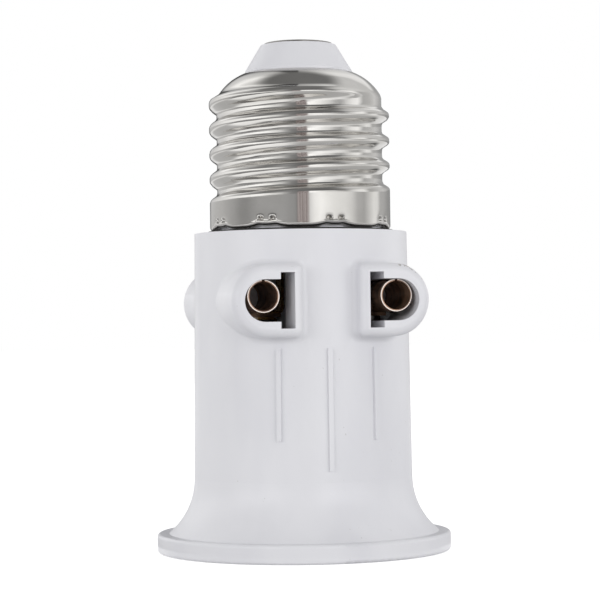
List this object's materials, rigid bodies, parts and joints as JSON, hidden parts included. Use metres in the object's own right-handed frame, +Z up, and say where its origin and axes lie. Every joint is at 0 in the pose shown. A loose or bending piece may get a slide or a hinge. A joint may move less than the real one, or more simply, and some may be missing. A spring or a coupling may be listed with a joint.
{
  "type": "lamp socket adapter",
  "caption": "Screw-cap lamp socket adapter: a screw cap on top, a mains outlet on each side and a flared lamp socket that opens downwards.",
  "frame": {"origin": "centre of the flange's lower face, on the surface that the adapter stands on", "axes": "+Z up along the adapter's axis from the lamp mouth to the screw cap; -Y out of the front outlet, +Y out of the rear outlet; +X across the outlet pins"},
  "size_m": [0.0426, 0.0424, 0.0735],
  "materials": {
    "white_plastic": "satin moulded white plastic",
    "base_plastic": "matte moulded insulating plastic",
    "nickel": "nickel-plated rolled sheet, bright with soft streaks",
    "brass": "rolled brass sheet, lightly tarnished",
    "screw_steel": "zinc-plated steel"
  },
  "bodies": {
    "root": {"housing": "white_plastic", "cap_shell": "nickel", "cap_contact": "nickel", "front_left_sleeve": "brass", "front_right_sleeve": "brass", "rear_left_sleeve": "brass", "rear_right_sleeve": "brass", "live_bus": "brass", "neutral_bus": "brass", "live_strap": "brass", "neutral_strap": "brass", "live_tail": "brass", "neutral_tail": "brass", "contact_screws": "screw_steel", "socket_base": "base_plastic", "socket_shell": "nickel", "shell_rivets": "brass", "contact_leaf": "brass", "leaf_rivet": "brass", "base_screws": "screw_steel"},
    "button": {"contact_button": "brass"}
  },
  "joints": [
    {"name": "leaf_flex", "type": "hinge", "parent": "root", "child": "button", "pos_m": [-0.0046, 0, 0.02745], "axis": [0, -1, 0], "range_deg": [0, 15], "stiffness_Nm_per_rad": 0.01, "deforming": ["contact_leaf"]}
  ]
}
